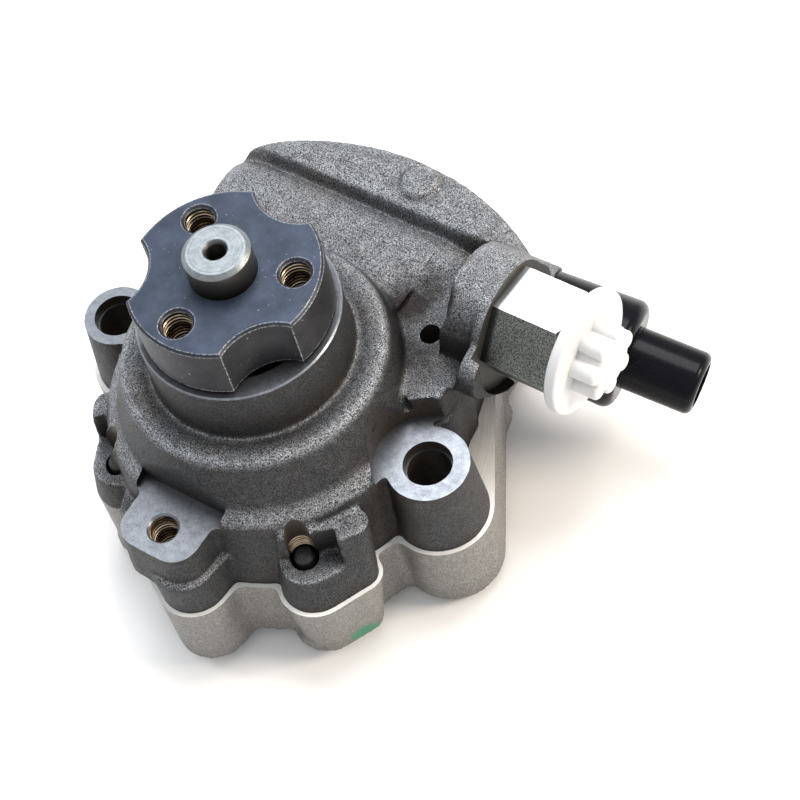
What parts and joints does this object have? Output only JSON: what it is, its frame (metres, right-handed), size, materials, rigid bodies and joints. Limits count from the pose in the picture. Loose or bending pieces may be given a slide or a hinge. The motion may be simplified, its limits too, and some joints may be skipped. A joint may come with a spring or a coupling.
{
  "type": "power steering pump",
  "caption": "Rotary vane pump for hydraulic steering with a scalloped drive flange, cast housing, slanted suction spigot and capped pressure port.",
  "frame": {"origin": "centre of the drive flange's front face, on the shaft axis", "axes": "+Z out along the shaft, away from the housing; +X out of the pressure outlet; +Y towards the suction lobe"},
  "size_m": [0.1639, 0.1412, 0.1184],
  "materials": {
    "iron_casting": "rough sand-cast skin, oiled, with bright machined faces",
    "aluminium_casting": "fine die-cast skin",
    "rubber": "matte",
    "bearing_steel": "ground and polished",
    "cage_steel": "pressed",
    "spring_steel": "dark, tempered",
    "sintered_steel": "fine matte",
    "ground_steel": "ground",
    "bush_bronze": "turned",
    "flange_steel": "machined top, darker forged sides",
    "shaft_steel": "turned and ground",
    "zinc_plate": "zinc plated, slightly dulled",
    "cap_plastic": "soft polyethylene",
    "inlet_plastic": "glossy moulded",
    "black_screws": "black phosphate",
    "vane_steel": "ground"
  },
  "bodies": {
    "housing": {"front_housing": "iron_casting", "rear_cover": "aluminium_casting", "cover_o_ring": "rubber", "bearing_outer_ring": "bearing_steel", "bearing_circlip": "spring_steel", "shaft_seal": "rubber", "front_plate": "sintered_steel", "rear_plate": "sintered_steel", "cam_ring": "ground_steel", "dowel_pins": "ground_steel", "rear_bush": "bush_bronze", "flow_valve_plug": "zinc_plate", "flow_valve_spring": "spring_steel", "outlet_union": "zinc_plate", "inlet_pipe": "inlet_plastic", "cover_screws": "black_screws"},
    "rotating": {"drive_flange": "flange_steel", "drive_shaft": "shaft_steel", "bearing_inner_ring": "bearing_steel", "rotor": "ground_steel"},
    "ball_set": {"bearing_balls": "bearing_steel", "bearing_cage": "cage_steel"},
    "flow_valve": {"flow_valve_spool": "ground_steel"},
    "outlet_plug": {"outlet_cap": "cap_plastic"},
    "vane_01": {"vane_01": "vane_steel"},
    "vane_02": {"vane_02": "vane_steel"},
    "vane_03": {"vane_03": "vane_steel"},
    "vane_04": {"vane_04": "vane_steel"},
    "vane_05": {"vane_05": "vane_steel"},
    "vane_06": {"vane_06": "vane_steel"},
    "vane_07": {"vane_07": "vane_steel"},
    "vane_08": {"vane_08": "vane_steel"},
    "vane_09": {"vane_09": "vane_steel"},
    "vane_10": {"vane_10": "vane_steel"}
  },
  "joints": [
    {"name": "shaft_spin", "type": "hinge", "parent": "housing", "child": "rotating", "pos_m": [0, 0, 0], "axis": [0, 0, 1], "continuous": true},
    {"name": "ball_set_spin", "type": "hinge", "parent": "housing", "child": "ball_set", "pos_m": [0, 0, 0], "axis": [0, 0, 1], "continuous": true},
    {"name": "flow_valve_slide", "type": "slide", "parent": "housing", "child": "flow_valve", "axis": [-1, 0, 0], "range_m": [0, 0.008], "stiffness_N_per_m": 3000, "springref_m": -0.004, "deforming": ["flow_valve_spring"]},
    {"name": "outlet_cap_pull", "type": "slide", "parent": "housing", "child": "outlet_plug", "axis": [1, 0, 0], "range_m": [0, 0.03]},
    {"name": "vane_slide_01", "type": "slide", "parent": "rotating", "child": "vane_01", "axis": [0.9511, 0.309, 0], "range_m": [-0.0005, 0.00025]},
    {"name": "vane_slide_02", "type": "slide", "parent": "rotating", "child": "vane_02", "axis": [0.5878, 0.809, 0], "range_m": [-0.0005, 0.00186]},
    {"name": "vane_slide_03", "type": "slide", "parent": "rotating", "child": "vane_03", "axis": [0, 1, 0], "range_m": [-0.0005, 0.003]},
    {"name": "vane_slide_04", "type": "slide", "parent": "rotating", "child": "vane_04", "axis": [-0.5878, 0.809, 0], "range_m": [-0.0005, 0.00186]},
    {"name": "vane_slide_05", "type": "slide", "parent": "rotating", "child": "vane_05", "axis": [-0.9511, 0.309, 0], "range_m": [-0.0005, 0.00025]},
    {"name": "vane_slide_06", "type": "slide", "parent": "rotating", "child": "vane_06", "axis": [-0.9511, -0.309, 0], "range_m": [-0.0005, 0.00025]},
    {"name": "vane_slide_07", "type": "slide", "parent": "rotating", "child": "vane_07", "axis": [-0.5878, -0.809, 0], "range_m": [-0.0005, 0.00186]},
    {"name": "vane_slide_08", "type": "slide", "parent": "rotating", "child": "vane_08", "axis": [0, -1, 0], "range_m": [-0.0005, 0.003]},
    {"name": "vane_slide_09", "type": "slide", "parent": "rotating", "child": "vane_09", "axis": [0.5878, -0.809, 0], "range_m": [-0.0005, 0.00186]},
    {"name": "vane_slide_10", "type": "slide", "parent": "rotating", "child": "vane_10", "axis": [0.9511, -0.309, 0], "range_m": [-0.0005, 0.00025]}
  ],
  "couplings": [
    {"joint": "ball_set_spin", "follows": "shaft_spin", "ratio": 0.3976}
  ]
}
